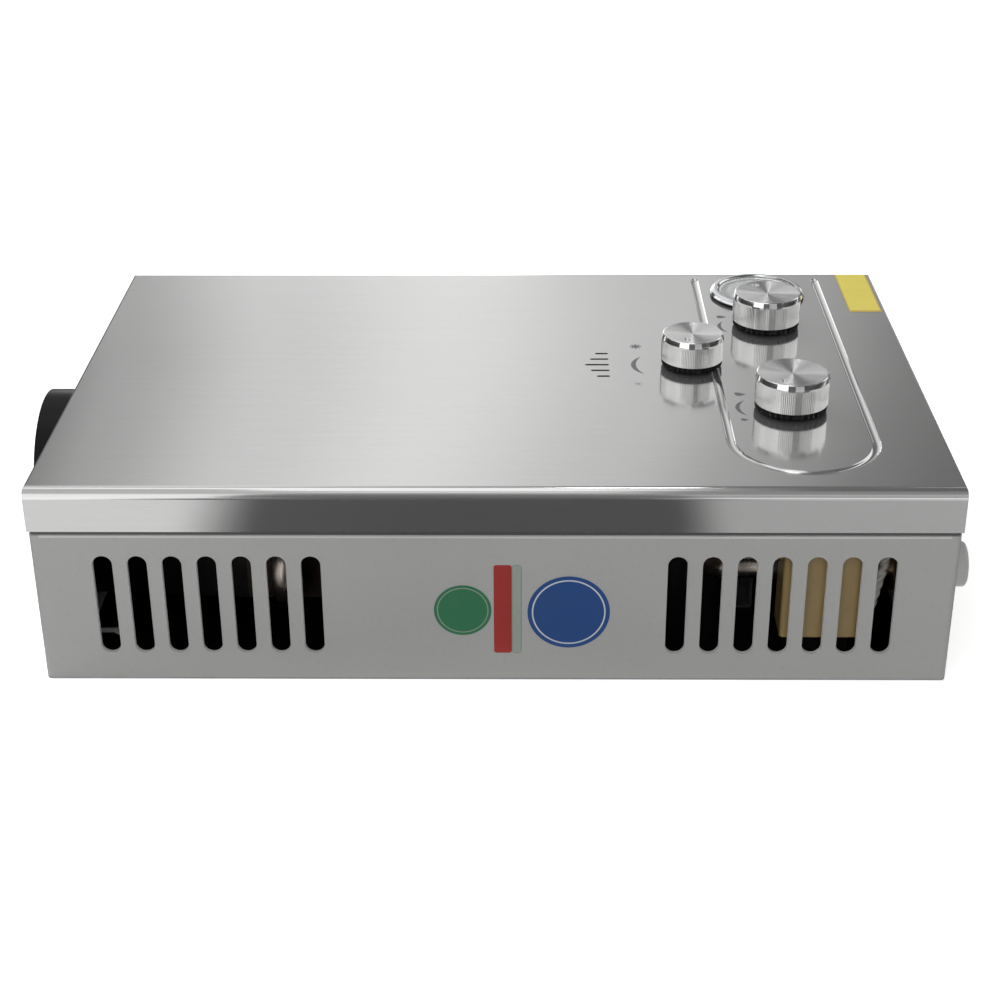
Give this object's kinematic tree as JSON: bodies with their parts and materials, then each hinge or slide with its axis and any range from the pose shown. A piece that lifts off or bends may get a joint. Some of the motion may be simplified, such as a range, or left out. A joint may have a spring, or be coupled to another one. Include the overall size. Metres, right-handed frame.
{
  "type": "gas water heater",
  "caption": "Wall-hung gas water heater with a brushed steel front, control knobs, round display, slotted sides, flue collar and threaded ports.",
  "frame": {"origin": "centre of the wall face at the back of the casing", "axes": "+X along the length towards the port end, +Z from the wall towards the front, +Y towards the side with the battery door"},
  "size_m": [0.4765, 0.29, 0.1235],
  "materials": {
    "stainless": "brushed along the length",
    "case_grey": "satin grey paint",
    "galvanised": "galvanised sheet",
    "black_metal": "satin black",
    "copper": "drawn copper",
    "tinned_copper": "bright dipped",
    "burner_steel": "heat tinted",
    "cast_alloy": "die cast",
    "brass": "machined",
    "zinc": "zinc plated",
    "black_plastic": "moulded",
    "red_plastic": "moulded",
    "grey_plastic": "moulded",
    "tan_plastic": "moulded",
    "knob_metal": "spun top, polished edge",
    "ceramic": "glazed",
    "white_sleeve": "woven sleeve",
    "wire_black": "insulated wire",
    "cell": "plain wrapped cell",
    "chrome": "polished",
    "lens": "clear window",
    "display": "liquid crystal in a black case"
  },
  "bodies": {
    "casing": {"back_plate": "galvanised", "left_side_panel": "case_grey", "right_side_panel": "case_grey", "top_end_panel": "case_grey", "bottom_end_panel": "case_grey", "front_cover": "stainless", "cover_screws": "zinc", "flue_collar": "black_metal", "flue_hood": "galvanised", "combustion_chamber": "copper", "exchanger_core": "copper", "return_bends": "tinned_copper", "cold_pipe": "copper", "hot_pipe": "copper", "chamber_feet": "galvanised", "burner_frame": "galvanised", "burner_bars": "burner_steel", "gas_manifold": "cast_alloy", "nozzles": "brass", "season_valve": "cast_alloy", "gas_valve": "cast_alloy", "gas_solenoid": "black_plastic", "water_valve": "brass", "diaphragm_cover": "brass", "diaphragm_screws": "zinc", "valve_bracket": "galvanised", "microswitch": "black_plastic", "gas_inlet": "brass", "cold_inlet": "brass", "hot_outlet": "brass", "port_nuts": "brass", "dust_cap": "grey_plastic", "igniter_box": "tan_plastic", "igniter_bracket": "black_metal", "ignition_electrode": "ceramic", "flame_sensor": "ceramic", "ignition_lead": "white_sleeve", "power_lead": "white_sleeve", "wiring_harness": "wire_black", "thermal_cutout": "black_plastic", "outlet_thermistor": "brass", "battery_box": "black_plastic", "battery_cells": "cell", "door_hinge_pin": "zinc", "display_bezel": "chrome", "display_lens": "lens", "display_module": "display"},
    "gas_control": {"gas_knob": "knob_metal", "gas_knob_core": "black_plastic", "gas_spindle": "brass"},
    "water_control": {"water_knob": "knob_metal", "water_knob_core": "black_plastic", "water_spindle": "brass"},
    "season_control": {"season_knob": "knob_metal", "season_knob_core": "black_plastic", "season_spindle": "brass"},
    "link_rod": {"valve_rod": "zinc"},
    "button": {"switch_button": "red_plastic"},
    "door": {"battery_door": "grey_plastic"}
  },
  "joints": [
    {"name": "gas_knob_turn", "type": "hinge", "parent": "casing", "child": "gas_control", "pos_m": [0.149, -0.05225, 0.11], "axis": [0, 0, 1], "range_deg": [-124, 0]},
    {"name": "water_knob_turn", "type": "hinge", "parent": "casing", "child": "water_control", "pos_m": [0.149, 0.05975, 0.11], "axis": [0, 0, 1], "range_deg": [0, 124]},
    {"name": "season_knob_turn", "type": "hinge", "parent": "casing", "child": "season_control", "pos_m": [0.1033, 0.00375, 0.11], "axis": [0, 0, 1], "range_deg": [-134, 0]},
    {"name": "link_rod_slide", "type": "slide", "parent": "casing", "child": "link_rod", "axis": [0, -1, 0], "range_m": [0, 0.004], "stiffness_N_per_m": 150},
    {"name": "switch_button_slide", "type": "slide", "parent": "casing", "child": "button", "axis": [0, -1, 0], "range_m": [0, 0.001]},
    {"name": "battery_door_swing", "type": "hinge", "parent": "casing", "child": "door", "pos_m": [0.2197, 0.1135, 0.0042], "axis": [0, 1, 0], "range_deg": [0, 90]}
  ],
  "couplings": [
    {"joint": "switch_button_slide", "follows": "link_rod_slide", "ratio": 0.25}
  ]
}
